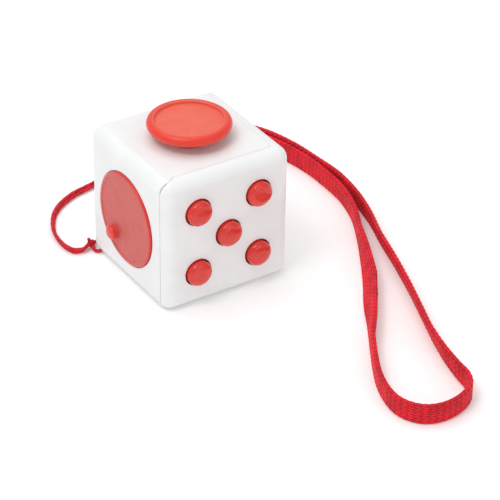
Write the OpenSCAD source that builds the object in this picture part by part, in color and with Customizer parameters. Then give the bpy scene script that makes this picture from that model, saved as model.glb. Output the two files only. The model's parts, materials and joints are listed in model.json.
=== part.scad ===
// Fidget cube with a wrist lanyard.
// Frame: millimetres, +Z up, origin under the middle of the cube on the surface it stands on.
// -Y buttons, -X spin dial, +Z joystick, +X rocker switch, +Y wheels and ball, -Z thumb dish.

/* [Cube] */
// Edge length of the cube
cube_edge = 33; // [33:0.5:36]
// Radius of the rounded edges and corners
edge_r = 3; // [2.6:0.1:3.4]
// Thickness of the shell walls
wall = 2; // [1.8:0.1:2]
// Distance of the parting line from the edges of the left and back faces
wrap_side = 2.1; // [2.1:0.1:2.8]
// Distance of the parting line from the front and right edges of the top face
wrap_top = 3.2; // [2.8:0.1:4]
// Width and depth of the groove along the parting line
groove = 0.16; // [0.12:0.02:0.3]

/* [Buttons] */
// Radius of a button
button_r = 3; // [2.8:0.05:3.1]
// Distance of the outer four buttons from the middle of the face, across and up
button_pitch = 7.8; // [7.6:0.1:8.2]
// Height of a button above the face
button_proud = 1.9; // [1.4:0.1:2]

/* [Joystick] */
// Outer radius of the thumb cap
cap_r = 9.6; // [9:0.1:10]
// Height of the top of the cap above the top face
cap_top = 4.5; // [4.4:0.05:5]
// Thickness of the cap's round rim
cap_rim = 2.4; // [2.2:0.1:2.5]
// Depth of the dished recess in the cap
cap_recess = 0.8; // [0.4:0.1:0.9]
// Radius of the ball-shaped dome that fills the hole in the top face
dome_r = 8; // [7.8:0.1:8]
// Depth of the tilt centre below the top face
pivot_depth = 6; // [5.8:0.1:6.2]

/* [Spin dial] */
// Radius of the dial
dial_r = 11.1; // [10:0.1:11.8]
// Height of the dial above the left face
dial_proud = 0.5; // [0.3:0.1:0.8]
// Radius of the nub
nub_r = 1.7; // [1.2:0.1:1.8]
// Height of the nub's tip above the left face
nub_proud = 2.3; // [1.6:0.1:2.4]
// Distance of the nub from the dial's centre
nub_orbit = 6.8; // [5:0.1:8]
// Direction of the nub, in degrees from straight up towards the back
nub_angle = 141; // [0:1:359]

/* [Rocker] */
// Half the length of the rocker
rocker_half = 7.3; // [6.5:0.1:7.4]
// Width of the rocker
rocker_w = 8; // [7:0.1:8.2]
// Tilt of the rocker to each side of its middle
rocker_tilt = 8; // [6:0.5:8]

/* [Wheels and ball] */
// Radius of the three thumb wheels
wheel_r = 5.2; // [5:0.05:5.2]
// Width of each wheel
wheel_w = 3; // [2.6:0.1:3]
// Distance from wheel to wheel
wheel_pitch = 4.4; // [4.4:0.1:4.6]
// Notches round each wheel
wheel_notches = 16; // [12:1:20]
// Height of each wheel above the back face
wheel_proud = 1.6; // [1.2:0.1:1.6]
// Radius of the ball
ball_r = 3.2; // [3:0.05:3.2]

/* [Lanyard] */
// Thickness of the thin cord
cord_d = 1.6; // [1.2:0.1:1.8]
// Width of the braided strap, which stands on its edge
strap_w = 5; // [4:0.5:6]
// Thickness of the braided strap
strap_t = 1.2; // [1:0.1:1.4]

/* [Hidden] */
$fn = 96;

white = [0.93, 0.92, 0.91];
coral = [0.93, 0.32, 0.27];
scarlet = [0.88, 0.2, 0.17];
dusty_red = [0.84, 0.42, 0.39];
crimson = [0.85, 0.12, 0.22];
steel = [0.72, 0.73, 0.75];
grey_plastic = [0.55, 0.55, 0.57];

h = cube_edge / 2;            // distance of a face from the cube's centre
inner = h - wall;             // distance of a wall's inside from the cube's centre
run_gap = 0.05;               // radial clearance of a shaft that turns in a hole
slide_gap = 0.15;             // clearance of a face that moves past another
cut = 1;                      // how far a cutter runs past the face it opens

// Parting line
bend_low = -h + 2.1;          // where the parting line starts to bend away from the left face
bend_run = 2.6;               // length of that bend
bend_r = 1.2;                 // radius of its corner at the top face's front right

// Buttons, measured inwards from the front face
button_hole_r = button_r + 0.35;
button_side = 0.8;             // height of a button's straight side above the face
flange_r = button_r + 0.7;
flange_t = 0.8;
plunger_r = 1.2;
plunger_end = h - 4.3;        // inner end of the plunger
dome_h = 0.75;                // height of a snap dome or soft dome
snap_r = 2.6;
carrier_face = h - 5.1;       // face of the carrier that the domes sit on
carrier_t = 1.2;
carrier_half = 13.9;
post_at = 12.2;               // place of the carrier's screws, across and up
post_r = 1.5;
button_sites = [[-1, 1], [1, 1], [0, 0], [-1, -1], [1, -1]];
post_sites = [[-1, 1], [1, 1], [-1, -1], [1, -1]];

// Joystick
pivot_z = cube_edge - pivot_depth;
cap_z = cube_edge + cap_top;                // top of the cap
cap_low = cap_z - cap_rim;                  // underside of the cap
recess_r = cap_r - cap_rim / 2 - 0.6;
stub_h = 0.8;                               // height of the stem's stub inside the cap
skirt_t = 1;                                // thickness of the dome
skirt_low = pivot_z + 2.4;                  // lower edge of the dome
stem_r = 1.8;
stub_r = 2;
neck_r = 3.6;
foot_r = 3.2;
foot_low = pivot_z - 4.4;
foot_t = 1;
trunnion_r = 0.8;
ring_in = 3.7;
ring_out = 5;
ring_h = 1.8;
cheek_in = 5.25;                            // bearing cheeks of the socket
cheek_out = 6.45;
cup_r = 9.2;
cup_low = pivot_z - 3;
spring_cup_r = 5.2;
spring_low = pivot_z - 9.5;                 // underside of the return spring
lug_x = 11;                                 // place of the socket's screws

// Spin dial
dial_back = h - 0.75;
dial_hub_r = 2.5;
hub_end = inner - 0.2;
washer_t = 0.7;

// Rocker
rocker_x = h - 3.6;                         // hinge pin
pin_r = 0.8;
rocker_hub_r = 1.5;
rocker_mid = 3.6 / cos(rocker_tilt);        // middle of the rocker's face above the pin
rocker_end = rocker_mid + rocker_half * tan(rocker_tilt);
rocker_gap = 0.3;
frame_floor = h - 5.3;
frame_wall = 1.2;

// Wheels and ball
wheel_y = h + wheel_proud - wheel_r;
wheel_z = 19;
axle_r = 1;
axle_half = 8;
cheek_t = 1.4;                              // side cheeks of the wheel cradle
cradle_y = 7.4;                             // face of the cradle's back plate
ball_y = h - 2.1;
ball_z = 8.6;
guide_r = 4.6;
ball_cup_r = 3.8;
ball_cup_low = 9.8;
ball_spring_low = 7;

// Shell screws
boss_x = 12;
boss_y = 10.8;
boss_r = 2.3;
shell_screw_r = 1;

// Thumb dish
dish_r = 8.9;
dish_flange_r = 10.2;
dish_step = 1.05;                           // height of the step that the dish's flange sits on
dish_bowl_r = 20;
dish_depth = 1.7;
dish_low = 0.2;
dish_top = 2.9;

// Lanyard
lanyard_hole_r = 0.65;
lanyard_hole_at = 13.2;                     // distance of each hole from the cube's middle plane
lanyard_hole_end = 3.6;
hoop_d = 0.85;
knot_at = [-16.6, 16.2, 1.25];
knot_r = 1.3;
clamp_low = [6.2, 40.5, 0];
clamp_size = [7, 3.6, 5.6];
hoop_route = [
    [-16.7, 15.9, 1.1], [-16.8, 15.1, 0.85], [-16.8, 14.4, 0.6], [-16.6, 13.75, 0.5],
    [-16.15, 13.32, 0.6], [-15.6, 13.2, 0.95], [-14.95, 13.2, 1.57], [-14.3, 13.22, 2.2],
    [-13.8, 13.4, 2.55], [-13.4, 13.8, 2.55], [-13.22, 14.3, 2.2], [-13.2, 14.95, 1.57],
    [-13.2, 15.6, 0.95], [-13.32, 16.15, 0.6], [-13.75, 16.6, 0.5], [-14.4, 16.8, 0.6],
    [-15.1, 16.8, 0.85], [-15.9, 16.7, 1.1]
];
cord_route = [
    [-17.35, 16.25, 1.1], [-19.2, 15.4, 0.9], [-21.2, 15.9, 0.9], [-22.1, 18.4, 0.9],
    [-22.1, 21.8, 0.9], [-21.4, 25.2, 0.9], [-19.9, 28.6, 0.9], [-17.8, 31.8, 0.9],
    [-15.1, 34.4, 0.9], [-12.2, 36.2, 0.9], [-9.1, 37.6, 0.9], [-5.8, 38.4, 0.9],
    [-1.9, 39.4, 0.9], [2.3, 40.8, 1.2], [6.8, 42.2, 2]
];
strap_route = [
    [12.6, 41.3], [19.4, 42.9], [26.2, 43.9], [32, 41.7], [36.9, 37.9], [40.8, 32.5], [43.2, 25.7],
    [44.5, 17.5], [44.6, 10.7], [44, 2.4], [41.7, -5.8], [37.9, -13.6], [33, -21.8], [27.7, -30.1],
    [22.8, -37.4], [18.9, -44.6], [15, -51.4], [11.2, -57.8], [8.2, -63.6], [6.4, -69.4],
    [6.4, -74.2], [8.7, -78.1], [12.6, -79.8], [17.5, -79.4], [21.8, -77.2], [23.9, -73.8],
    [24.7, -69.4], [26.2, -63.1], [28.6, -55.8], [31.5, -48], [34.9, -38.8], [38.3, -28.6],
    [41.2, -18.9], [44.2, -9.7], [46.1, -1], [46.8, 7.8], [46.2, 16.5], [45.2, 25.2], [42.7, 34],
    [38.3, 40.8], [32, 45.2], [25.2, 46.8], [18.4, 45.2], [12.6, 43.3]
];

// ---------- helpers ----------

// Points of an arc round [x, y], from angle a0 to angle a1
function arc(x, y, r, a0, a1, steps = 10) =
    [for (i = [0:steps]) let (a = a0 + (a1 - a0) * i / steps) [x + r * cos(a), y + r * sin(a)]];

// Points of a soft dome, from its edge at [r, z] to its middle at height z + rise
function dome_arc(r, z, rise) =
    [for (a = [0:10:90]) [r * pow(cos(a), 0.7), z + rise * sin(a)]];

function unit(v) = v / norm(v);

// Direction of a route at one of its points
function heading(route, i) =
    unit(route[min(i + 1, len(route) - 1)] - route[max(i - 1, 0)]);

// Horizontal direction across a route at one of its points
function across(route, i) =
    let (t = heading(route, i)) unit([-t[1], t[0], 0]);

// Rounded block of the cube's outline, taken in by inset
module rounded_block(inset) {
    facet_turn = 90 / 16;
    translate([0, 0, h])
        hull()
            for (x = [-1, 1], y = [-1, 1], z = [-1, 1])
                translate([x, y, z] * (h - edge_r))
                    sphere((edge_r - inset) / cos(facet_turn), $fn = 32);
}

// Face +Z of the children outwards through a side of the cube, from the cube's centre line
module facing_front(x, z) translate([x, 0, z]) rotate([90, 0, 0]) children();
module facing_back(x, z) translate([x, 0, z]) rotate([-90, 0, 0]) children();
module facing_left() translate([0, 0, h]) rotate([0, -90, 0]) children();
module along_x(y, z) translate([0, y, z]) rotate([0, 90, 0]) children();

// Cylinder or ring between two heights
module disc(r, low, high) translate([0, 0, low]) cylinder(r = r, h = high - low);
module ring(r_out, r_in, low, high) {
    difference() {
        disc(r_out, low, high);
        disc(r_in, low - cut, high + cut);
    }
}

// Screw with its head's underside at height 0 and its shank upwards
module screw(shank_r, length, head_r, head_h) {
    disc(shank_r, -head_h / 2, length);
    difference() {
        disc(head_r, -head_h, 0);
        translate([0, 0, -head_h - cut])
            linear_extrude(cut + head_h / 2)
                square([head_r * 1.4, head_r * 0.3], center = true);
    }
}

// Tube of a section swept along a route; every ring stands across the route
module swept(route, section) {
    sides = len(section);
    rings = len(route);
    points = [
        for (i = [0:rings - 1])
            let (t = heading(route, i), side = across(route, i), up = cross(t, side))
                for (s = section) route[i] + side * s[0] + up * s[1]
    ];
    walls = [
        for (i = [0:rings - 2], k = [0:sides - 1])
            let (a = i * sides + k, b = i * sides + (k + 1) % sides)
                each [[a, a + sides, b + sides], [a, b + sides, b]]
    ];
    first = [for (k = [0:sides - 1]) k];
    last = [for (k = [sides - 1:-1:0]) (rings - 1) * sides + k];
    polyhedron(points, concat(walls, [first, last]), convexity = 8);
}

function round_section(d) = [for (k = [0:7]) d / 2 * [cos(45 * k), sin(45 * k)]];

function band_section(t, w, c) = [
    [t / 2, -w / 2 + c], [t / 2, w / 2 - c], [t / 2 - c, w / 2], [-t / 2 + c, w / 2],
    [-t / 2, w / 2 - c], [-t / 2, -w / 2 + c], [-t / 2 + c, -w / 2], [t / 2 - c, -w / 2]
];

// Coil spring standing on height 0
module coil(mean_r, wire_d, height, turns) {
    steps = 12 * turns;
    rise = height - wire_d;
    route = [
        for (i = [0:steps])
            [mean_r * cos(30 * i), mean_r * sin(30 * i), wire_d / 2 + rise * i / steps]
    ];
    swept(route, round_section(wire_d));
}

// ---------- housing ----------

// Parting line on the top face, from the left face to its front right corner
function front_bend(grow) = [
    for (a = [0:15:180])
        [
            bend_low + bend_run * a / 180,
            -h - grow + wrap_side + (wrap_top - wrap_side) * (1 - cos(a)) / 2
        ]
];

// Outline of the upper shell's part of the top face; grow widens it on the parting faces
function top_outline(grow) =
    let (bend = front_bend(grow), corner = h - wrap_top - bend_r, far = cube_edge + cut)
        concat(
            [[-far, bend[0][1]]],
            bend,
            arc(corner, -corner, bend_r + grow, -90, 0, 6),
            [for (i = [len(bend) - 1:-1:0]) [-bend[i][1], -bend[i][0]]],
            [[-bend[0][1], far], [-far, far]]
        );

// Block that belongs to the upper shell; grow widens it on the parting faces
module upper_region(grow) {
    low = wrap_side - grow;
    reach = cube_edge + cut;
    top_low = cube_edge - wall - cut;
    translate([-reach, -h + low, low])
        cube([reach + h - low, reach, top_low - low]);
    translate([0, 0, top_low])
        linear_extrude(reach - top_low) polygon(top_outline(grow));
}

// Shallow groove along the parting line
module seam_groove() {
    difference() {
        upper_region(groove / 2);
        upper_region(-groove / 2);
        rounded_block(groove);
    }
}

module walls() {
    difference() {
        rounded_block(0);
        translate([0, 0, h]) cube(2 * inner, center = true);
    }
}

module shell_screw_sites() for (x = [-1, 1]) translate([x * boss_x, boss_y, 0]) children();

// Two slanting holes through the lower back left corner, for the lanyard's loop
module lanyard_holes() {
    translate([-h, lanyard_hole_at, 0])
        rotate([0, 45, 0]) disc(lanyard_hole_r, -cut, lanyard_hole_end);
    translate([-lanyard_hole_at, h, 0])
        rotate([45, 0, 0]) disc(lanyard_hole_r, -cut, lanyard_hole_end);
}

module shell_upper() {
    color(white)
        difference() {
            union() {
                intersection() {
                    walls();
                    upper_region(0);
                }
                shell_screw_sites() disc(boss_r, wall, cube_edge - wall);
            }
            seam_groove();
            shell_screw_sites() disc(shell_screw_r, wall - cut, 13);
            // round socket that the joystick's dome moves in
            translate([0, 0, pivot_z]) sphere(dome_r + slide_gap);
            for (x = [-1, 1])
                translate([x * lug_x, 0, 0]) disc(0.8, cube_edge - wall - cut, cube_edge - 0.6);
            // dial pocket and bearing
            facing_left() {
                disc(dial_r + 0.3, dial_back - slide_gap, h + cut);
                disc(dial_hub_r + run_gap, inner - cut, h);
            }
            for (i = [-1:1])
                translate([i * wheel_pitch, h, wheel_z])
                    cube([wheel_w + 0.5, 3 * wall, 2 * wheel_r + 0.4], center = true);
            translate([0, ball_y, ball_z]) sphere(ball_r + 0.1);
            lanyard_holes();
        }
}

module shell_lower() {
    color(white)
        difference() {
            union() {
                difference() {
                    walls();
                    upper_region(0);
                }
                for (p = post_sites)
                    facing_front(p[0] * post_at, h + p[1] * post_at)
                        disc(post_r, carrier_face, inner + cut / 2);
            }
            seam_groove();
            for (p = button_sites)
                facing_front(p[0] * button_pitch, h + p[1] * button_pitch)
                    disc(button_hole_r, inner - cut, h + cut);
            for (p = post_sites)
                facing_front(p[0] * post_at, h + p[1] * post_at) disc(0.8, inner - 4, h - 1);
            // rocker opening
            translate([h, 0, h])
                cube([3 * wall, rocker_w + 2 * rocker_gap, 2 * (rocker_half + 0.8)], center = true);
            // seat of the thumb dish
            disc(dish_r + slide_gap, -cut, wall + cut);
            disc(dish_flange_r + slide_gap, dish_step, wall + cut);
            shell_screw_sites() {
                disc(1.9, -cut, 1.15);
                disc(shell_screw_r + 0.1, -cut, wall + cut);
            }
            lanyard_holes();
        }
}

module shell_screw(i) {
    color(steel)
        translate([(2 * i - 3) * boss_x, boss_y, 1.15]) screw(shell_screw_r, 10, 1.75, 1);
}

module thumb_dish() {
    color(coral)
        difference() {
            union() {
                disc(dish_r, dish_low, dish_top);
                disc(dish_flange_r, dish_step, wall);
            }
            translate([0, 0, dish_low + dish_depth - dish_bowl_r]) sphere(dish_bowl_r, $fn = 128);
        }
}

// ---------- buttons ----------

module button(i) {
    p = button_sites[i - 1];
    shoulder = h + button_side;
    profile = concat(
        [[0, plunger_end], [plunger_r, plunger_end], [plunger_r, inner - 0.1 - flange_t]],
        [[flange_r, inner - 0.1 - flange_t], [flange_r, inner - 0.1], [button_r, inner - 0.1]],
        dome_arc(button_r, shoulder, button_proud - button_side)
    );
    color(scarlet)
        facing_front(p[0] * button_pitch, h + p[1] * button_pitch)
            rotate_extrude() polygon(profile);
}

// Clicking steel dome under buttons 1, 3 and 5
module snap_dome(i) {
    p = button_sites[2 * i - 2];
    sphere_r = (snap_r * snap_r + dome_h * dome_h) / (2 * dome_h);
    color(steel)
        facing_front(p[0] * button_pitch, h + p[1] * button_pitch)
            translate([0, 0, carrier_face])
                difference() {
                    intersection() {
                        translate([0, 0, dome_h - sphere_r]) sphere(sphere_r);
                        disc(snap_r + cut, 0, dome_h + cut);
                    }
                    translate([0, 0, dome_h - sphere_r]) sphere(sphere_r - 0.15);
                }
}

// Silent rubber dome under buttons 2 and 4
module soft_dome(i) {
    p = button_sites[2 * i - 1];
    color(grey_plastic)
        facing_front(p[0] * button_pitch, h + p[1] * button_pitch)
            translate([0, 0, carrier_face])
                difference() {
                    cylinder(r1 = snap_r, r2 = plunger_r, h = dome_h);
                    translate([0, 0, -0.01]) cylinder(r1 = snap_r - 0.5, r2 = 0.8, h = dome_h / 2);
                }
}

module button_carrier() {
    color(grey_plastic)
        difference() {
            translate([-carrier_half, -carrier_face, h - carrier_half])
                cube([2 * carrier_half, carrier_t, 2 * carrier_half]);
            for (p = post_sites)
                facing_front(p[0] * post_at, h + p[1] * post_at)
                    disc(0.9, carrier_face - carrier_t - cut, carrier_face + cut);
        }
}

module carrier_screw(i) {
    p = post_sites[i - 1];
    color(steel)
        facing_front(p[0] * post_at, h + p[1] * post_at)
            translate([0, 0, carrier_face - carrier_t]) screw(0.8, 4.6, 1.3, 0.8);
}

// ---------- joystick ----------

module joystick_cap() {
    rim = cap_rim / 2;
    profile = concat(
        [[0, cap_low]],
        arc(cap_r - rim, cap_low + rim, rim, -90, 90, 16),
        arc(recess_r + 0.35, cap_z - 0.35, 0.35, 90, 180, 5),
        arc(recess_r - 0.2, cap_z - cap_recess + 0.2, 0.2, 0, -90, 4),
        [[0, cap_z - cap_recess]]
    );
    color(coral)
        difference() {
            rotate_extrude() polygon(profile);
            disc(stub_r, cap_low - cut, cap_low + stub_h);
        }
}

module joystick_stem() {
    color(scarlet)
        union() {
            // dome that fills the hole in the top face at every tilt
            difference() {
                intersection() {
                    translate([0, 0, pivot_z]) sphere(dome_r);
                    disc(dome_r + cut, skirt_low, cap_low);
                }
                translate([0, 0, pivot_z]) sphere(dome_r - skirt_t);
            }
            disc(neck_r, pivot_z + dome_r - skirt_t + 0.3, cap_low);
            disc(stub_r, pivot_z + dome_r - skirt_t + 0.3, cap_low + stub_h);
            disc(stem_r, foot_low, pivot_z + dome_r - skirt_t / 2);
            disc(foot_r, foot_low, foot_low + foot_t);
            along_x(0, pivot_z) disc(trunnion_r, -ring_out + 0.2, ring_out - 0.2);
        }
}

module gimbal_ring() {
    color(grey_plastic)
        difference() {
            union() {
                ring(ring_out, ring_in, pivot_z - ring_h / 2, pivot_z + ring_h / 2);
                facing_back(0, pivot_z)
                    for (end = [-cheek_out + 0.1, ring_in + 0.4])
                        disc(trunnion_r, end, end + cheek_out - ring_in - 0.5);
            }
            along_x(0, pivot_z) disc(trunnion_r + run_gap, -ring_out - cut, ring_out + cut);
        }
}

module joystick_socket() {
    cheek_top = pivot_z + 1.1;
    color(grey_plastic)
        difference() {
            union() {
                ring(cup_r, dome_r + 0.3, cup_low, cube_edge - wall);
                ring(cup_r, 4.6, cup_low, cup_low + 1);
                ring(spring_cup_r, 4.4, spring_low - 1, cup_low + 1);
                disc(spring_cup_r, spring_low - 1, spring_low);
                for (y = [-cheek_out, cheek_in])
                    translate([-1.6, y, cup_low + 0.5])
                        cube([3.2, cheek_out - cheek_in, cheek_top - cup_low - 0.5]);
                for (x = [-12.6, 8.8])
                    translate([x, -2, cube_edge - wall - 1.2]) cube([3.8, 4, 1.2]);
            }
            facing_back(0, pivot_z) disc(trunnion_r + run_gap, -cheek_out - cut, cheek_out + cut);
            for (x = [-lug_x, lug_x])
                translate([x, 0, 0]) disc(0.9, cube_edge - wall - 2, cube_edge);
        }
}

module joystick_spring() {
    color(steel) translate([0, 0, spring_low]) coil(2.6, 0.6, foot_low - spring_low, 4);
}

module socket_screw(i) {
    color(steel)
        translate([(2 * i - 3) * lug_x, 0, cube_edge - wall - 1.2]) screw(0.8, 2.5, 1.5, 0.8);
}

// ---------- spin dial ----------

module spin_dial() {
    face = h + dial_proud;
    profile = concat(
        [[0, hub_end], [dial_hub_r, hub_end], [dial_hub_r, dial_back], [dial_r, dial_back]],
        arc(dial_r - 0.45, face - 0.45, 0.45, 0, 90, 6),
        [[dial_r - 1, face], [dial_r - 1.2, face - 0.15], [0, face - 0.15]]
    );
    nub = concat([[0, h], [nub_r, h]], dome_arc(nub_r, h + nub_proud - 0.7, 0.7));
    color(dusty_red)
        difference() {
            facing_left() {
                rotate_extrude() polygon(profile);
                rotate(nub_angle) translate([nub_orbit, 0, 0]) rotate_extrude() polygon(nub);
            }
            facing_left() disc(1, hub_end - cut, h - 0.4);
        }
}

module dial_washer() {
    color(steel) facing_left() ring(4, 1.05, hub_end - washer_t, hub_end);
}

module dial_screw() {
    color(steel) facing_left() translate([0, 0, hub_end - washer_t]) screw(1, 2.2, 1.9, 1);
}

// ---------- rocker switch ----------

module rocker() {
    outline = [
        [rocker_end, -rocker_half], [rocker_mid, 0], [rocker_end, rocker_half],
        [rocker_end - 2.4, rocker_half], [0.6, 2.2], [0.6, -2.2], [rocker_end - 2.4, -rocker_half]
    ];
    color(scarlet)
        translate([rocker_x, rocker_w / 2, h])
            rotate([0, -rocker_tilt, 0])
                rotate([90, 0, 0])
                    linear_extrude(rocker_w)
                        difference() {
                            union() {
                                polygon(outline);
                                circle(rocker_hub_r);
                            }
                            circle(pin_r + run_gap);
                        }
}

module rocker_pin() {
    half = rocker_w / 2 + rocker_gap + frame_wall;
    color(steel) facing_back(rocker_x, h) disc(pin_r, -half, half);
}

module rocker_frame() {
    half_y = rocker_w / 2 + rocker_gap;
    half_z = rocker_half + 1;
    color(grey_plastic)
        difference() {
            translate([frame_floor - 0.8, -half_y - frame_wall, h - half_z - frame_wall])
                cube([inner - frame_floor + 0.8, 2 * (half_y + frame_wall), 2 * (half_z + frame_wall)]);
            translate([frame_floor, -half_y, h - half_z])
                cube([3 * wall, 2 * half_y, 2 * half_z]);
            facing_back(rocker_x, h) disc(pin_r, -h, h);
        }
}

// Leaf spring that holds the rocker in either position
module rocker_leaf() {
    color(steel) translate([frame_floor, -1.5, h - 5]) cube([0.15, 3, 10]);
}

// ---------- wheels ----------

module wheel(i) {
    color(scarlet)
        along_x(wheel_y, wheel_z)
            translate([0, 0, (i - 2) * wheel_pitch - wheel_w / 2])
                linear_extrude(wheel_w)
                    difference() {
                        circle(wheel_r);
                        circle(axle_r + run_gap);
                        for (k = [0:wheel_notches - 1])
                            rotate(k * 360 / wheel_notches)
                                translate([wheel_r + 0.15, 0]) circle(0.55, $fn = 24);
                    }
}

module wheel_axle() {
    color(steel) along_x(wheel_y, wheel_z) disc(axle_r, -axle_half, axle_half);
}

module wheel_cradle() {
    low = wheel_z - 4.9;
    high = wheel_z + 4.7;
    color(grey_plastic)
        difference() {
            union() {
                for (x = [-axle_half, axle_half - cheek_t])
                    translate([x, cradle_y - 0.7, low])
                        cube([cheek_t, inner - cradle_y + 0.7, high - low]);
                translate([-axle_half, cradle_y - 0.7, low]) cube([2 * axle_half, 0.7, high - low]);
            }
            along_x(wheel_y, wheel_z) disc(axle_r, -h, h);
        }
}

// Springy comb whose three fingers click over the notches
module wheel_clicker() {
    low = wheel_z - 4.6;
    color(steel)
        union() {
            translate([-6.4, cradle_y, low]) cube([12.8, 0.2, 2]);
            for (i = [-1:1])
                translate([i * wheel_pitch - 0.9, cradle_y, low]) cube([1.8, 0.2, 5]);
        }
}

// ---------- ball ----------

module ball() {
    color(steel) translate([0, ball_y, ball_z]) sphere(ball_r);
}

module ball_carrier() {
    color(grey_plastic)
        difference() {
            facing_back(0, ball_z) disc(ball_cup_r, ball_cup_low, ball_cup_low + 3.8);
            translate([0, ball_y, ball_z]) sphere(ball_r + run_gap);
        }
}

module ball_guide() {
    color(grey_plastic)
        facing_back(0, ball_z)
            difference() {
                disc(guide_r, ball_spring_low - 0.6, inner);
                disc(ball_cup_r + slide_gap, ball_spring_low, inner + cut);
            }
}

module ball_spring() {
    color(steel)
        facing_back(0, ball_z)
            translate([0, 0, ball_spring_low])
                coil(2.4, 0.6, ball_cup_low - ball_spring_low, 3);
}

// ---------- lanyard ----------

module lanyard_hoop() {
    color(crimson) swept(hoop_route, round_section(hoop_d));
}

module lanyard_knot() {
    color(crimson) translate(knot_at) sphere(knot_r, $fn = 32);
}

module lanyard_cord() {
    color(crimson) swept(cord_route, round_section(cord_d));
}

// Crimped sleeve that joins the strap's two ends to the thin cord
module lanyard_clamp() {
    round_r = 0.8;
    color(crimson)
        translate(clamp_low + [0, 0, round_r])
            rotate([90, 0, 90])
                linear_extrude(clamp_size[0])
                    union() {
                        for (x = [round_r, clamp_size[1] - round_r], y = [0, clamp_size[2] - 2 * round_r])
                            translate([x, y]) circle(round_r, $fn = 32);
                        translate([0, 0]) square([clamp_size[1], clamp_size[2] - 2 * round_r]);
                        translate([round_r, -round_r])
                            square([clamp_size[1] - 2 * round_r, clamp_size[2]]);
                    }
}

module lanyard_strap() {
    route = [for (p = strap_route) [p[0], p[1], strap_w / 2]];
    color(crimson) swept(route, band_section(strap_t, strap_w, 0.25));
}

shell_upper();
shell_lower();
shell_screw(1);  // shell_screw_1
shell_screw(2);  // shell_screw_2
thumb_dish();
button(1);  // button_1
button(2);  // button_2
button(3);  // button_3
button(4);  // button_4
button(5);  // button_5
snap_dome(1);  // snap_dome_1
snap_dome(2);  // snap_dome_2
snap_dome(3);  // snap_dome_3
soft_dome(1);  // soft_dome_1
soft_dome(2);  // soft_dome_2
button_carrier();
carrier_screw(1);  // carrier_screw_1
carrier_screw(2);  // carrier_screw_2
carrier_screw(3);  // carrier_screw_3
carrier_screw(4);  // carrier_screw_4
joystick_cap();
joystick_stem();
gimbal_ring();
joystick_socket();
joystick_spring();
socket_screw(1);  // socket_screw_1
socket_screw(2);  // socket_screw_2
spin_dial();
dial_washer();
dial_screw();
rocker();
rocker_pin();
rocker_frame();
rocker_leaf();
wheel(1);  // wheel_1
wheel(2);  // wheel_2
wheel(3);  // wheel_3
wheel_axle();
wheel_cradle();
wheel_clicker();
ball();
ball_carrier();
ball_guide();
ball_spring();
lanyard_hoop();
lanyard_knot();
lanyard_cord();
lanyard_clamp();
lanyard_strap();
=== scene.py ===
import json
import math

import bmesh
import bpy
import numpy as np
from mathutils import Matrix, Vector

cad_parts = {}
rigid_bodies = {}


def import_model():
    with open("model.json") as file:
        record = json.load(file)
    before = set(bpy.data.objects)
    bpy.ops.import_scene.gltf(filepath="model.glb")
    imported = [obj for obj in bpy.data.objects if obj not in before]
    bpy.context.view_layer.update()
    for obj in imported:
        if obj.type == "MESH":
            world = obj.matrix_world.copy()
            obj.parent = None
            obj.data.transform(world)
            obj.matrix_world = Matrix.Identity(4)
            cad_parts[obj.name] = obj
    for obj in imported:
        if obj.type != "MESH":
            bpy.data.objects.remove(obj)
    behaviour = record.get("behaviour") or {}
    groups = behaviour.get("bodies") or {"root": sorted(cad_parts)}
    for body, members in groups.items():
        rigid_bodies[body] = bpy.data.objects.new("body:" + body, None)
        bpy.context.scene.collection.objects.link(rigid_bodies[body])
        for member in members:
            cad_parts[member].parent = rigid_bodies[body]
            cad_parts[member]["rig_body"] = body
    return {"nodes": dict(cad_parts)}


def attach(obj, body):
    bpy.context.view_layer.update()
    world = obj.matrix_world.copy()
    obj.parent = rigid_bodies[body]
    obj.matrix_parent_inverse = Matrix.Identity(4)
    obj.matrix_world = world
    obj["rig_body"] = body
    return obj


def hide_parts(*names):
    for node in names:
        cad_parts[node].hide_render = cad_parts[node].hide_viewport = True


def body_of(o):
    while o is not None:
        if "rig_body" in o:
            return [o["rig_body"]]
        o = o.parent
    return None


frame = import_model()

MM = 0.001
HALF_CUBE = 0.0165
scene = bpy.context.scene
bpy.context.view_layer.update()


def add_object(name, data):
    made = bpy.data.objects.new(name, data)
    scene.collection.objects.link(made)
    return made


# ---------- materials ----------

def feed(tree, socket, value):
    """Sets a socket to a number or colour, or links another node's output to it."""
    if isinstance(value, bpy.types.NodeSocket):
        tree.links.new(value, socket)
    else:
        socket.default_value = value


def node(tree, kind, **inputs):
    """A new shader node with its inputs fed by name, with _ for a space."""
    made = tree.nodes.new("ShaderNode" + kind)
    for name, value in inputs.items():
        feed(tree, made.inputs[name.replace("_", " ")], value)
    return made


def math_node(tree, operation, *values):
    made = tree.nodes.new("ShaderNodeMath")
    made.operation = operation
    for socket, value in zip(made.inputs, values):
        feed(tree, socket, value)
    return made.outputs[0]


def span(tree, value, low, high, to_low, to_high):
    """value taken from the range low to high into the range to_low to to_high, with soft ends."""
    made = node(
        tree, "MapRange", Value=value, From_Min=low, From_Max=high, To_Min=to_low, To_Max=to_high,
    )
    made.interpolation_type = "SMOOTHSTEP"
    return made.outputs[0]


def blend_colours(tree, factor, first, second, mode="MIX"):
    made = tree.nodes.new("ShaderNodeMix")
    made.data_type = "RGBA"
    made.blend_type = mode
    for index, value in ((0, factor), (6, first), (7, second)):
        feed(tree, made.inputs[index], value)
    return made.outputs[2]


def noise(tree, place, size, detail=2.0, rough=0.5):
    """Noise whose spots are about size metres across."""
    made = node(tree, "TexNoise", Vector=place, Scale=1 / size, Detail=detail, Roughness=rough)
    return made.outputs[0]


def own_place(tree):
    """Where a point is in the piece's own coordinates."""
    return node(tree, "TexCoord").outputs["Object"]


finishes = {}


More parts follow.
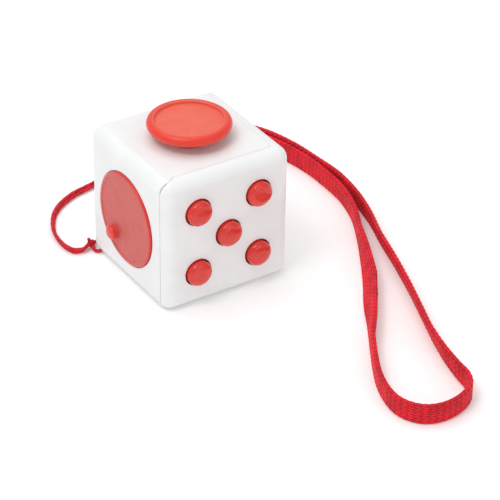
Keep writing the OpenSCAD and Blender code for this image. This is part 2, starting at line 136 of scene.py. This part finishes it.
def new_material(name, **constants):
    """A material kept in finishes under the name of the record's slot that it finishes."""
    made = finishes[name] = bpy.data.materials.new(name + "_finish")
    made.use_nodes = True
    shader = made.node_tree.nodes["Principled BSDF"]
    for socket, value in constants.items():
        shader.inputs[socket.replace("_", " ")].default_value = value
    return made, made.node_tree, shader


def rgba(r, g, b):
    return (r, g, b, 1.0)


def worn_edges(tree, place, rough):
    """Takes some roughness off near the cube's edges, where handling polishes them."""
    polish_from, polish_to, most = 0.0134, 0.0158, 0.06
    part = node(tree, "SeparateXYZ", Vector=place).outputs
    x = math_node(tree, "ABSOLUTE", part[0])
    y = math_node(tree, "ABSOLUTE", part[1])
    z = math_node(tree, "ABSOLUTE", math_node(tree, "SUBTRACT", part[2], HALF_CUBE))
    # The middle one of the three distances is large only near an edge.
    middle = math_node(
        tree, "MAXIMUM", math_node(tree, "MINIMUM", x, y),
        math_node(tree, "MINIMUM", math_node(tree, "MAXIMUM", x, y), z),
    )
    polish = span(tree, middle, polish_from, polish_to, 0.0, 1.0)
    uneven = span(tree, noise(tree, place, 0.003, 3.0), 0.4, 0.6, 0.6, 1.0)
    worn = math_node(tree, "MULTIPLY", polish, uneven)
    return math_node(tree, "SUBTRACT", rough, math_node(tree, "MULTIPLY", worn, most))


def moulded(
    name, dark, light, gloss, grain, depth, patch=0.004, speck=None, edges=False, **constants,
):
    """Moulded or machined surface: two close tones in patches, uneven gloss, and a fine grain of
    the given size and depth. gloss is the lowest and highest roughness, patch the size of the
    patches, speck the colour of fine flecks, and edges polishes the cube's edges."""
    made, tree, shader = new_material(name, **constants)
    place = own_place(tree)
    patches = span(tree, noise(tree, place, patch, 4.0), 0.35, 0.65, 0.0, 1.0)
    colour = blend_colours(tree, patches, dark, light)
    if speck:
        flecks = span(tree, noise(tree, place, grain * 2.5, 1.0), 0.62, 0.72, 0.0, 0.5)
        colour = blend_colours(tree, flecks, colour, speck)
    rough = span(tree, noise(tree, place, patch * 0.35, 5.0, 0.6), 0.3, 0.7, *gloss)
    if edges:
        rough = worn_edges(tree, place, rough)
    tree.links.new(colour, shader.inputs["Base Color"])
    tree.links.new(rough, shader.inputs["Roughness"])
    fine = noise(tree, place, grain, 3.0, 0.6)
    bump = node(tree, "Bump", Height=fine, Strength=1.0, Distance=depth)
    tree.links.new(bump.outputs[0], shader.inputs["Normal"])
    return made


def turned(name, tone, gloss, axis, centre, pitch, depth, **constants):
    """Machined metal with fine rings round an axis through centre, pitch apart and depth deep."""
    made, tree, shader = new_material(name, **constants)
    place = own_place(tree)
    moved = node(tree, "Mapping", Vector=place, Location=[-c for c in centre])
    wave = tree.nodes.new("ShaderNodeTexWave")
    wave.wave_type = "RINGS"
    wave.rings_direction = axis
    wave.inputs["Scale"].default_value = 1 / (20 * pitch)
    wave.inputs["Distortion"].default_value = 0.4
    tree.links.new(moved.outputs[0], wave.inputs["Vector"])
    darker = [0.88 * c for c in tone[:3]] + [1.0]
    colour = blend_colours(tree, noise(tree, place, 0.002, 3.0), tone, darker)
    tree.links.new(colour, shader.inputs["Base Color"])
    rough = span(tree, noise(tree, place, 0.0008, 4.0), 0.3, 0.7, *gloss)
    tree.links.new(rough, shader.inputs["Roughness"])
    bump = node(tree, "Bump", Height=wave.outputs["Fac"], Strength=1.0, Distance=depth)
    tree.links.new(bump.outputs[0], shader.inputs["Normal"])
    return made


def shaded(tree, colour, value):
    """The colour made lighter or darker by a value."""
    tint = node(tree, "CombineColor", Red=value, Green=value, Blue=value).outputs[0]
    return blend_colours(tree, 1.0, colour, tint, "MULTIPLY")


def textile(name, groove, body, crest, fibre, **constants):
    """Braided or twisted yarn. The piece's "yarn" attribute runs from 0 in a groove to 1 on a
    crest, and "thread" holds two distances in metres that the hairs follow. fibre is their size.
    The groove, body and crest colours paint shade into the grooves and a highlight onto the crests."""
    made, tree, shader = new_material(name, **constants)
    place = own_place(tree)
    yarn = tree.nodes.new("ShaderNodeAttribute")
    yarn.attribute_name = "yarn"
    thread = tree.nodes.new("ShaderNodeAttribute")
    thread.attribute_name = "thread"
    high = yarn.outputs["Fac"]
    # Painted shade and highlight: the yarn height darkens the grooves towards the groove colour and
    # lightens the crests with the crest colour.
    colour = blend_colours(tree, span(tree, high, 0.0, 0.55, 0.0, 1.0), groove, body)
    colour = blend_colours(tree, span(tree, high, 0.55, 1.0, 0.0, 1.0), colour, crest)
    patches = span(tree, noise(tree, place, 0.003, 4.0), 0.35, 0.65, 0.82, 1.12)
    colour = shaded(tree, colour, patches)
    stretched = node(
        tree, "Mapping", Vector=thread.outputs["Vector"], Scale=(1 / (12 * fibre), 1 / fibre, 1.0),
    )
    hairs = node(tree, "TexNoise", Vector=stretched.outputs[0], Scale=1.0, Detail=3.0).outputs[0]
    colour = shaded(tree, colour, span(tree, hairs, 0.3, 0.7, 0.86, 1.1))
    tree.links.new(colour, shader.inputs["Base Color"])
    tree.links.new(span(tree, hairs, 0.3, 0.7, 0.5, 0.72), shader.inputs["Roughness"])
    bump = node(tree, "Bump", Height=hairs, Strength=0.8, Distance=0.03 * MM)
    tree.links.new(bump.outputs[0], shader.inputs["Normal"])
    return made


def spread(tree, scale, centre):
    """Distance from a centre, or from an axis through it where one of the scales is 0."""
    moved = node(
        tree, "Mapping", Vector=own_place(tree), Scale=scale,
        Location=[-a * c for a, c in zip(scale, centre)],
    )
    length = tree.nodes.new("ShaderNodeVectorMath")
    length.operation = "LENGTH"
    tree.links.new(moved.outputs[0], length.inputs[0])
    return length.outputs["Value"]


def zone(material, mask, colour, rough):
    """Blends another colour and roughness into a finish where mask is 1."""
    tree = material.node_tree
    shader = tree.nodes["Principled BSDF"]
    before = shader.inputs["Base Color"].links[0].from_socket
    tree.links.new(blend_colours(tree, mask, before, colour), shader.inputs["Base Color"])
    before = shader.inputs["Roughness"].links[0].from_socket
    mix = tree.nodes.new("ShaderNodeMix")
    for index, value in ((0, mask), (2, before), (3, rough)):
        feed(tree, mix.inputs[index], value)
    tree.links.new(mix.outputs[0], shader.inputs["Roughness"])


moulded(
    "white_shell", rgba(0.835, 0.845, 0.845), rgba(0.86, 0.87, 0.87), (0.34, 0.46),
    0.09 * MM, 0.004 * MM, patch=0.006, edges=True, Coat_Weight=0.05,
)
moulded(
    "button_red", rgba(0.68, 0.018, 0.009), rgba(0.71, 0.022, 0.012), (0.24, 0.28),
    0.12 * MM, 0.0012 * MM, patch=0.004, Coat_Weight=0.35, Coat_Roughness=0.14,
)
# These paler coral base tones paint the overhead light's reflected haze into the colour of the
# cap's dish.
coral_rubber = moulded(
    "coral_rubber", rgba(0.78, 0.115, 0.07), rgba(0.82, 0.13, 0.08), (0.42, 0.55),
    0.08 * MM, 0.006 * MM, speck=rgba(0.74, 0.1, 0.06), Sheen_Weight=0.1, Sheen_Roughness=0.5,
)
# The thumb cap is painted in two tones of one rubber: the paler coral in its dish is a painted
# reflection of the overhead light, and its rim keeps a deeper red; the rim is also glossier than
# the dish.
dish_end, rim_start = 0.0076, 0.0088
tree = coral_rubber.node_tree
rim = span(tree, spread(tree, (1, 1, 0), (0, 0, 0)), dish_end, rim_start, 0.0, 1.0)
zone(coral_rubber, rim, rgba(0.78, 0.033, 0.014), 0.38)
moulded(
    "scarlet_plastic", rgba(0.6, 0.02, 0.014), rgba(0.66, 0.026, 0.018), (0.28, 0.4),
    0.1 * MM, 0.003 * MM, patch=0.002,
)
# These hazy pink base tones paint a sheen haze into the colour of the dial's face.
dial_red = moulded(
    "dial_red", rgba(0.58, 0.085, 0.073), rgba(0.61, 0.095, 0.083), (0.5, 0.62),
    0.07 * MM, 0.006 * MM, patch=0.003, speck=rgba(0.64, 0.11, 0.095), Sheen_Weight=0.1,
)
# The dial is painted the same way: its face's hazy pink is a painted sheen, while its rim and its
# nub keep a deeper red and are glossier.
face_end, rim_start = 0.0106, 0.0108
tree = dial_red.node_tree
rim = span(tree, spread(tree, (0, 1, 1), (0, 0, HALF_CUBE)), face_end, rim_start, 0.0, 1.0)
zone(dial_red, rim, rgba(0.72, 0.03, 0.02), 0.3)
nub_centre, nub_end, face_start = (-0.0184, 0.00428, 0.01122), 0.0018, 0.0021
nub = span(tree, spread(tree, (1, 1, 1), nub_centre), nub_end, face_start, 1.0, 0.0)
zone(dial_red, nub, rgba(0.74, 0.045, 0.03), 0.3)
moulded(
    "inner_grey", rgba(0.24, 0.24, 0.25), rgba(0.3, 0.3, 0.31), (0.4, 0.55),
    0.1 * MM, 0.005 * MM, patch=0.003,
)
moulded(
    "steel", rgba(0.55, 0.55, 0.56), rgba(0.64, 0.64, 0.65), (0.22, 0.38),
    0.06 * MM, 0.002 * MM, patch=0.001, Metallic=1.0,
)
moulded(
    "spring_steel", rgba(0.42, 0.42, 0.43), rgba(0.55, 0.54, 0.53), (0.25, 0.42),
    0.05 * MM, 0.002 * MM, patch=0.0012, Metallic=1.0,
)
moulded(
    "silicone", rgba(0.5, 0.5, 0.52), rgba(0.58, 0.58, 0.6), (0.45, 0.6),
    0.06 * MM, 0.004 * MM, patch=0.0015, Subsurface_Weight=0.2,
)
turned(
    "ball_chrome", rgba(0.72, 0.73, 0.75), (0.06, 0.16), axis="Y", centre=(0, 0.0144, 0.0086),
    pitch=0.12 * MM, depth=0.0006 * MM, Metallic=1.0,
)
clamp_plastic = moulded(
    "clamp_plastic", rgba(0.5, 0.014, 0.03), rgba(0.56, 0.018, 0.038), (0.3, 0.44),
    0.1 * MM, 0.004 * MM, patch=0.002,
)
# Both braids paint shade into their grooves with the first tone and a highlight onto their crests
# with the last.
strap_braid = textile(
    "strap_braid", rgba(0.44, 0.003, 0.01), rgba(0.76, 0.008, 0.022), rgba(0.88, 0.016, 0.038),
    0.035 * MM, Specular_IOR_Level=0.3, Sheen_Weight=0.05, Sheen_Roughness=0.4,
)
cord_braid = textile(
    "cord_braid", rgba(0.3, 0.003, 0.008), rgba(0.58, 0.007, 0.02), rgba(0.74, 0.015, 0.036),
    0.03 * MM, Specular_IOR_Level=0.3, Sheen_Weight=0.05, Sheen_Roughness=0.4,
)


# ---------- camera ----------

camera_place = (-0.2368, -0.3864, 0.2981)
looks_at = Vector((0.00845, -0.01242, 0.00671))
roll = math.radians(0.92)

lens = bpy.data.cameras.new("camera")
lens.lens = 170
lens.sensor_width = 36
lens.clip_start = 0.01
camera = add_object("camera", lens)
camera.location = camera_place
aim = (looks_at - camera.location).to_track_quat("-Z", "Y").to_matrix()
camera.rotation_mode = "QUATERNION"
camera.rotation_quaternion = (aim @ Matrix.Rotation(roll, 3, "Z")).to_quaternion()
scene.camera = camera


# ---------- shapes ----------

def smooth(mesh):
    mesh.polygons.foreach_set("use_smooth", [True] * len(mesh.polygons))


def new_piece(name, vertices, faces, material):
    mesh = bpy.data.meshes.new(name)
    mesh.from_pydata([tuple(v) for v in vertices], [], faces)
    smooth(mesh)
    mesh.materials.append(material)
    return add_object(name, mesh)


def settle(piece, body, slot, *nodes):
    """The piece rides on a body and stands for CAD nodes. slot is not used."""
    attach(piece, body)
    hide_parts(*nodes)


def steps_of(line):
    """The distance from each point of a line to the next."""
    return np.linalg.norm(np.diff(line, axis=0), axis=1)


class Route:
    """A smooth line through points given in millimetres, read by the distance along it in metres.
    marks holds the distance of each of the given points."""

    def __init__(self, points):
        given = np.array(points, float) * MM
        around = np.vstack([2 * given[0] - given[1], given, 2 * given[-1] - given[-2]])
        t = np.linspace(0, 1, 40, endpoint=False)[:, None]
        parts = []
        self.marks = [0.0]
        for a, b, c, d in zip(around, around[1:], around[2:], around[3:]):
            square = 2 * a - 5 * b + 4 * c - d
            cube = 3 * b - a - 3 * c + d
            part = 0.5 * (2 * b + (c - a) * t + square * t**2 + cube * t**3)
            parts.append(part)
            self.marks.append(self.marks[-1] + steps_of(np.vstack([part, c])).sum())
        self.line = np.vstack(parts + [given[-1]])
        self.along = np.concatenate([[0], np.cumsum(steps_of(self.line))])
        self.length = self.along[-1]

    def at(self, s):
        return np.stack([np.interp(s, self.along, self.line[:, k]) for k in range(3)], -1)

    def heading(self, s, reach=0.0004):
        ahead = self.at(np.minimum(s + reach, self.length)) - self.at(np.maximum(s - reach, 0))
        return ahead / np.linalg.norm(ahead, axis=-1, keepdims=True)

    def sides(self, s):
        """Heading, level direction to its left, and the direction up from both."""
        t = self.heading(s)
        left = np.stack([-t[..., 1], t[..., 0], np.zeros_like(t[..., 0])], -1)
        left /= np.linalg.norm(left, axis=-1, keepdims=True)
        return t, left, np.cross(t, left)


def skin(rows, columns, first=0):
    """Faces of a closed tube of rings, with both ends capped."""
    faces = []
    for i in range(rows - 1):
        for k in range(columns):
            a, b = first + i * columns + k, first + i * columns + (k + 1) % columns
            faces.append((a, b, b + columns, a + columns))
    last = first + (rows - 1) * columns
    faces.append(tuple(range(first + columns - 1, first - 1, -1)))
    faces.append(tuple(range(last, last + columns)))
    return faces


def add_yarn(piece, yarn, thread):
    """Stores how high each point stands on its yarn, which the textile finish turns into painted
    shade in the grooves and a painted highlight on the crests, and its place on the threads.
    """
    heights = piece.data.attributes.new("yarn", "FLOAT", "POINT")
    heights.data.foreach_set("value", np.clip(yarn, 0, 1).astype(np.float32))
    places = piece.data.attributes.new("thread", "FLOAT_VECTOR", "POINT")
    places.data.foreach_set("vector", np.asarray(thread, np.float32).ravel())


def stadium(around, half_flat, r):
    """Points round a section with two flats of 2 * half_flat and two half circles of radius r:
    place across and up, then the direction outwards, across and up."""
    quarter, flat, most = math.pi * r / 2, 2 * half_flat, 1.5 * math.pi * r
    perimeter = 4 * half_flat + 2 * math.pi * r

    def on_arc(turn, middle):
        return (r * math.cos(turn), middle + r * math.sin(turn), math.cos(turn), math.sin(turn))

    section = []
    for k in range(around):
        q = perimeter * k / around
        if q < quarter:
            section.append(on_arc(-math.pi / 2 + q / r, -half_flat))
        elif q < quarter + flat:
            section.append((r, q - quarter - half_flat, 1.0, 0.0))
        elif q < most + flat:
            section.append(on_arc((q - quarter - flat) / r, half_flat))
        elif q < most + 2 * flat:
            section.append((-r, half_flat - (q - most - flat), -1.0, 0.0))
        else:
            section.append(on_arc(math.pi + (q - most - 2 * flat) / r, -half_flat))
    return np.array(section), perimeter


def braided_band(name, route, width, thick, lean, material):
    """Flat braid standing on its edge, and the line of its middle. Its stitches slant in turn left
    and right from column to column, so the rows of points run zigzag along them. lean gives its
    tilt to the left of the heading, in radians, at each distance."""
    columns, per_column, stitch, per_stitch = 18, 4, 1.5 * MM, 6
    slant, depth, groove = 0.95 * MM, 0.2 * MM, 0.3
    r = thick / 2
    around = columns * per_column
    section, perimeter = stadium(around, (width - thick) / 2, r)
    part = np.arange(around) % per_column / per_column
    odd = np.arange(around) // per_column % 2 == 1
    column = np.sqrt(1 - (2 * part - 1) ** 2)
    zigzag = slant * np.where(odd, 1 - part, part)
    rows = int(route.length / stitch * per_stitch)
    s_row = np.linspace(0, route.length - slant, rows)
    phase = np.arange(rows) % per_stitch / per_stitch
    bead = np.sqrt(1 - (2 * phase - 1) ** 2)
    s = s_row[:, None] + zigzag[None, :]
    height = column[None, :] * (groove + 0.7 * bead[:, None])
    sink = depth * (height - 1)
    _, left, up = route.sides(s)
    tilt = lean(s)[..., None]
    level = left * np.cos(tilt) - up * np.sin(tilt)
    rise = up * np.cos(tilt) + left * np.sin(tilt)
    foot = route.at(s) - up * width / 2 + up * (r * np.sin(np.abs(tilt)))
    a = section[:, 0] + section[:, 2] * sink
    b = section[:, 1] + section[:, 3] * sink + width / 2
    points = foot + level * a[..., None] + rise * b[..., None]
    piece = new_piece(name, points.reshape(-1, 3), skin(rows, around), material)
    across = perimeter * np.arange(around)[None, :] / around
    thread = np.stack(np.broadcast_arrays(across, s_row[:, None], 0.0), -1)
    # The stitch height becomes the yarn attribute, which paints shade into the grooves and a
    # highlight onto the crests.
    add_yarn(piece, (column[None, :] * bead[:, None]).ravel(), thread.reshape(-1, 3))
    tilt = lean(s_row)[:, None]
    _, left, up = route.sides(s_row)
    dropped = route.at(s_row) - up * (width / 2) * (1 - np.cos(tilt))
    return piece, dropped + left * (width / 2) * np.sin(tilt)


def twisted_strands(name, strands, material, step=0.16 * MM):
    """Round strands, each of plies twisted round each other once in every lay. strands is a list of
    (line of points, radius)."""
    plies, lay, depth, sides = 3, 2.6 * MM, 0.05 * MM, 24
    end_size = 0.72
    vertices, faces, yarns, threads = [], [], [], []
    for line, radius in strands:
        along = np.concatenate([[0], np.cumsum(steps_of(line))])
        rows = max(3, int(along[-1] / step))
        s = np.linspace(0, along[-1], rows)
        centre = np.stack([np.interp(s, along, line[:, k]) for k in range(3)], -1)
        t = np.gradient(centre, axis=0)
        t /= np.linalg.norm(t, axis=1, keepdims=True)
        side = np.empty_like(t)
        side[0] = np.cross(t[0], (0.31, 0.17, 0.93))
        for i in range(rows):
            before = side[max(i - 1, 0)]
            side[i] = before - t[i] * before.dot(t[i])
            side[i] /= np.linalg.norm(side[i])
        other = np.cross(t, side)
        turn = np.linspace(0, 2 * math.pi, sides, endpoint=False)[None, :]
        wave = np.abs(np.cos((turn * plies + 2 * math.pi * s[:, None] / lay) / 2)) ** 0.7
        end = np.clip(np.minimum(s, along[-1] - s) / (radius * 0.6), 0, 1)[:, None]
        rounded = end_size + 0.28 * np.sqrt(1 - (1 - end) ** 2)
        size = (radius - depth * (1 - wave)) * rounded
        ring = side[:, None] * (np.cos(turn) * size)[..., None]
        ring = ring + other[:, None] * (np.sin(turn) * size)[..., None]
        faces += skin(rows, sides, sum(len(y) for y in yarns))
        vertices.append((centre[:, None] + ring).reshape(-1, 3))
        # The ply height becomes the yarn attribute, which paints shade between the plies and a
        # highlight onto them.
        yarns.append(wave.ravel() * 0.9)
        thread = np.broadcast_arrays(s[:, None], turn * radius, 0.0)
        threads.append(np.stack(thread, -1).reshape(-1, 3))
    piece = new_piece(name, np.vstack(vertices), faces, material)
    add_yarn(piece, np.concatenate(yarns), np.vstack(threads))
    return piece


# ---------- lanyard ----------

strap_width, strap_thick = 5.0 * MM, 1.2 * MM
strap_route = Route([(x, y, 2.5) for x, y in [
    (12.6, 41.3), (19.4, 42.9), (26.2, 43.9), (32, 41.7), (36.9, 37.9), (40.8, 32.5), (43.2, 25.7),
    (44.5, 17.5), (44.6, 10.7), (44, 2.4), (41.7, -5.8), (37.9, -13.6), (33, -21.8), (27.7, -30.1),
    (22.8, -37.4), (18.9, -44.6), (15, -51.4), (11.2, -57.8), (8.2, -63.6), (6.4, -69.4),
    (6.4, -74.2), (8.7, -78.1), (12.6, -79.8), (17.5, -79.4), (21.8, -77.2), (23.9, -73.8),
    (24.7, -69.4), (26.2, -63.1), (28.6, -55.8), (31.5, -48), (34.9, -38.8), (38.3, -28.6),
    (41.2, -18.9), (44.2, -9.7), (46.1, -1), (46.8, 7.8), (46.2, 16.5), (45.2, 25.2), (42.7, 34),
    (38.3, 40.8), (32, 45.2), (25.2, 46.8), (18.4, 45.2), (12.6, 43.3),
]])
cord_route = Route([
    (-17.35, 16.25, 1.1), (-19.2, 15.4, 0.9), (-21.2, 15.9, 0.9), (-22.1, 18.4, 0.9),
    (-22.1, 21.8, 0.9), (-21.4, 25.2, 0.9), (-19.9, 28.6, 0.9), (-17.8, 31.8, 0.9),
    (-15.1, 34.4, 0.9), (-12.2, 36.2, 0.9), (-9.1, 37.6, 0.9), (-5.8, 38.4, 0.9),
    (-1.9, 39.4, 0.9), (2.3, 40.8, 1.2), (6.8, 42.2, 2),
])
hoop_route = Route([
    (-16.7, 15.9, 1.1), (-16.8, 15.1, 0.85), (-16.8, 14.4, 0.6), (-16.6, 13.75, 0.5),
    (-16.15, 13.32, 0.6), (-15.6, 13.2, 0.95), (-14.95, 13.2, 1.57), (-14.3, 13.22, 2.2),
    (-13.8, 13.4, 2.55), (-13.4, 13.8, 2.55), (-13.22, 14.3, 2.2), (-13.2, 14.95, 1.57),
    (-13.2, 15.6, 0.95), (-13.32, 16.15, 0.6), (-13.75, 16.6, 0.5), (-14.4, 16.8, 0.6),
    (-15.1, 16.8, 0.85), (-15.9, 16.7, 1.1),
])


def strap_lean(s):
    """Both long runs of the strap lean over to their left between the cube and the loop's end."""
    points = (11, 13, 14, 16, 25, 28, 32, 35)
    degrees = [0.0, 33.0, 33.0, 0.0, 0.0, 16.0, 16.0, 0.0]
    return np.interp(s, [strap_route.marks[i] for i in points], np.radians(degrees))


strap, strap_line = braided_band(
    "strap", strap_route, strap_width, strap_thick, strap_lean, strap_braid,
)
settle(strap, "housing", "strap_braid", "lanyard_strap")

# The thin cord is a doubled strand. The pair stands on edge by the cube and lies flat further on.
strand_r, strand_off, lowest = 0.43 * MM, 0.4 * MM, 0.00044
s = np.linspace(0, cord_route.length, 400)
_, left, up = cord_route.sides(s)
pair_degrees = [40.0, 75.0, 65.0, 12.0, 0.0]
pair_places = [0.0, 0.004, 0.022, 0.04, cord_route.length]
pair = np.interp(s, pair_places, np.radians(pair_degrees))[:, None]
gap = strand_off * (left * np.cos(pair) + up * np.sin(pair))
centre = cord_route.at(s)
centre[:, 2] = np.maximum(centre[:, 2], lowest + np.abs(gap[:, 2]))
thin_cord = twisted_strands(
    "thin_cord", [(centre + gap, strand_r), (centre - gap, strand_r)], cord_braid,
)
settle(thin_cord, "housing", "cord_braid", "lanyard_cord")

hoop = twisted_strands("corner_hoop", [(hoop_route.line, 0.425 * MM)], cord_braid)
settle(hoop, "housing", "cord_braid", "lanyard_hoop")

# Tight overhand knot, drawn as a trefoil, with two short tails
knot_at, knot_size = Vector((-16.6, 16.15, 1.15)), 0.26
t = np.linspace(0, 2 * math.pi, 120)
trefoil = np.stack([
    np.sin(t) + 2 * np.sin(2 * t), np.cos(t) - 2 * np.cos(2 * t), -1.25 * np.sin(3 * t),
], -1)
trefoil = (trefoil * knot_size + np.array(knot_at)) * MM
tails = [
    Route([(-16.7, 16.0, 1.1), (-16.95, 16.1, 1.7), (-17.15, 16.25, 2.2), (-17.25, 16.3, 2.75)]),
    Route([(-16.6, 16.15, 1.1), (-16.65, 15.8, 1.7), (-16.75, 15.5, 2.15), (-16.85, 15.3, 2.65)]),
]
knot = twisted_strands(
    "overhand_knot", [(trefoil, 0.37 * MM)] + [(tail.line, 0.4 * MM) for tail in tails],
    cord_braid, step=0.1 * MM,
)
settle(knot, "housing", "cord_braid", "lanyard_knot")


def crimped_sleeve(name, low, width, height, material):
    """Moulded sleeve along X, rounded at its edges and ends, with two crimped bands. stations holds
    how far along each ring stands and how far in it is from the full section, in millimetres."""
    sides, corner, tightest = 32, 0.9, 0.3
    stations = [
        (0.0, 0.75), (0.0, 0.45), (0.1, 0.2), (0.3, 0.05), (0.6, 0.0), (1.9, 0.0),
        (2.05, 0.16), (2.25, 0.22), (2.6, 0.22), (2.8, 0.16), (2.95, 0.0), (4.05, 0.0),
        (4.2, 0.16), (4.4, 0.22), (4.75, 0.22), (4.95, 0.16), (5.1, 0.0), (6.4, 0.0),
        (6.7, 0.05), (6.9, 0.2), (7.0, 0.45), (7.0, 0.75),
    ]
    vertices = []
    for x, inset in stations:
        half_y, half_z = width / 2 - inset, height / 2 - inset
        r = max(corner - inset * 0.6, tightest)
        for k in range(sides):
            turn = 2 * math.pi * (k + 0.5) / sides
            y = math.copysign(half_y - r, math.cos(turn)) + r * math.cos(turn)
            z = math.copysign(half_z - r, math.sin(turn)) + r * math.sin(turn)
            place = (low[0] + x, low[1] + width / 2 + y, low[2] + height / 2 + z)
            vertices.append(Vector(place) * MM)
    return new_piece(name, vertices, skin(len(stations), sides), material)


clamp = crimped_sleeve("clamp_sleeve", (6.2, 40.5, 0), 3.6, 5.6, clamp_plastic)
settle(clamp, "housing", "clamp_plastic", "lanyard_clamp")


# ---------- cube ----------

def refined(name):
    """Redraws a CAD node with its facets joined and its rounded edges shaded smoothly into its
    flat faces."""
    same_point, same_plane, sharp = 0.002 * MM, math.radians(0.6), math.radians(34)
    source = frame["nodes"][name]
    shape = bmesh.new()
    shape.from_mesh(source.data)
    bmesh.ops.remove_doubles(shape, verts=shape.verts, dist=same_point)
    bmesh.ops.dissolve_limit(
        shape, angle_limit=same_plane, verts=shape.verts, edges=shape.edges,
    )
    mesh = bpy.data.meshes.new(name + "_finish")
    shape.to_mesh(mesh)
    shape.free()
    smooth(mesh)
    mesh.set_sharp_from_angle(angle=sharp)
    slot = source.data.materials[0].name
    mesh.materials.append(finishes[slot])
    piece = add_object(name + "_finish", mesh)
    normals = piece.modifiers.new("normals", "WEIGHTED_NORMAL")
    normals.keep_sharp = True
    settle(piece, body_of(source)[0], slot, name)


for name in ("shell_upper", "shell_lower"):
    refined(name)

# The CAD nodes that no piece replaces take their slots' finishes.
for source in frame["nodes"].values():
    if not source.hide_render:
        slot = source.data.materials[0].name
        source.material_slots[0].material = finishes[slot]


# ---------- studio ----------

floor = bpy.data.meshes.new("floor")
floor.from_pydata([(-2, -2, 0), (2, -2, 0), (2, 2, 0), (-2, 2, 0)], [], [(0, 1, 2, 3)])
floor_material, _, _ = new_material(
    "floor", Base_Color=rgba(0.9, 0.9, 0.9), Roughness=0.9, Emission_Color=rgba(1, 1, 1),
    Emission_Strength=0.12,
)
floor.materials.append(floor_material)
ground = add_object("floor", floor)

world = bpy.data.worlds.new("studio")
world.use_nodes = True
background = world.node_tree.nodes["Background"]
background.inputs["Color"].default_value = rgba(1, 1, 1)
background.inputs["Strength"].default_value = 0.62
scene.world = world
scene.view_settings.view_transform = "Standard"


def softbox(name, place, size, power):
    """A rectangular lamp that faces the cube."""
    light = bpy.data.lights.new(name, "AREA")
    light.shape = "RECTANGLE"
    light.size, light.size_y = size
    light.energy = power
    lamp = add_object(name, light)
    lamp.location = place
    lamp.rotation_mode = "QUATERNION"
    aim = Vector((0, 0, 0.015)) - lamp.location
    lamp.rotation_quaternion = aim.to_track_quat("-Z", "Y")


softbox("overhead", (-0.1, 0.15, 0.75), (0.9, 0.7), 2.6)
softbox("key", (-0.35, -0.1, 0.65), (0.22, 0.18), 0.9)
softbox("left", (-0.7, -0.05, 0.35), (0.6, 0.5), 0.12)
softbox("front", (0.15, -0.8, 0.3), (0.5, 0.4), 0.6)
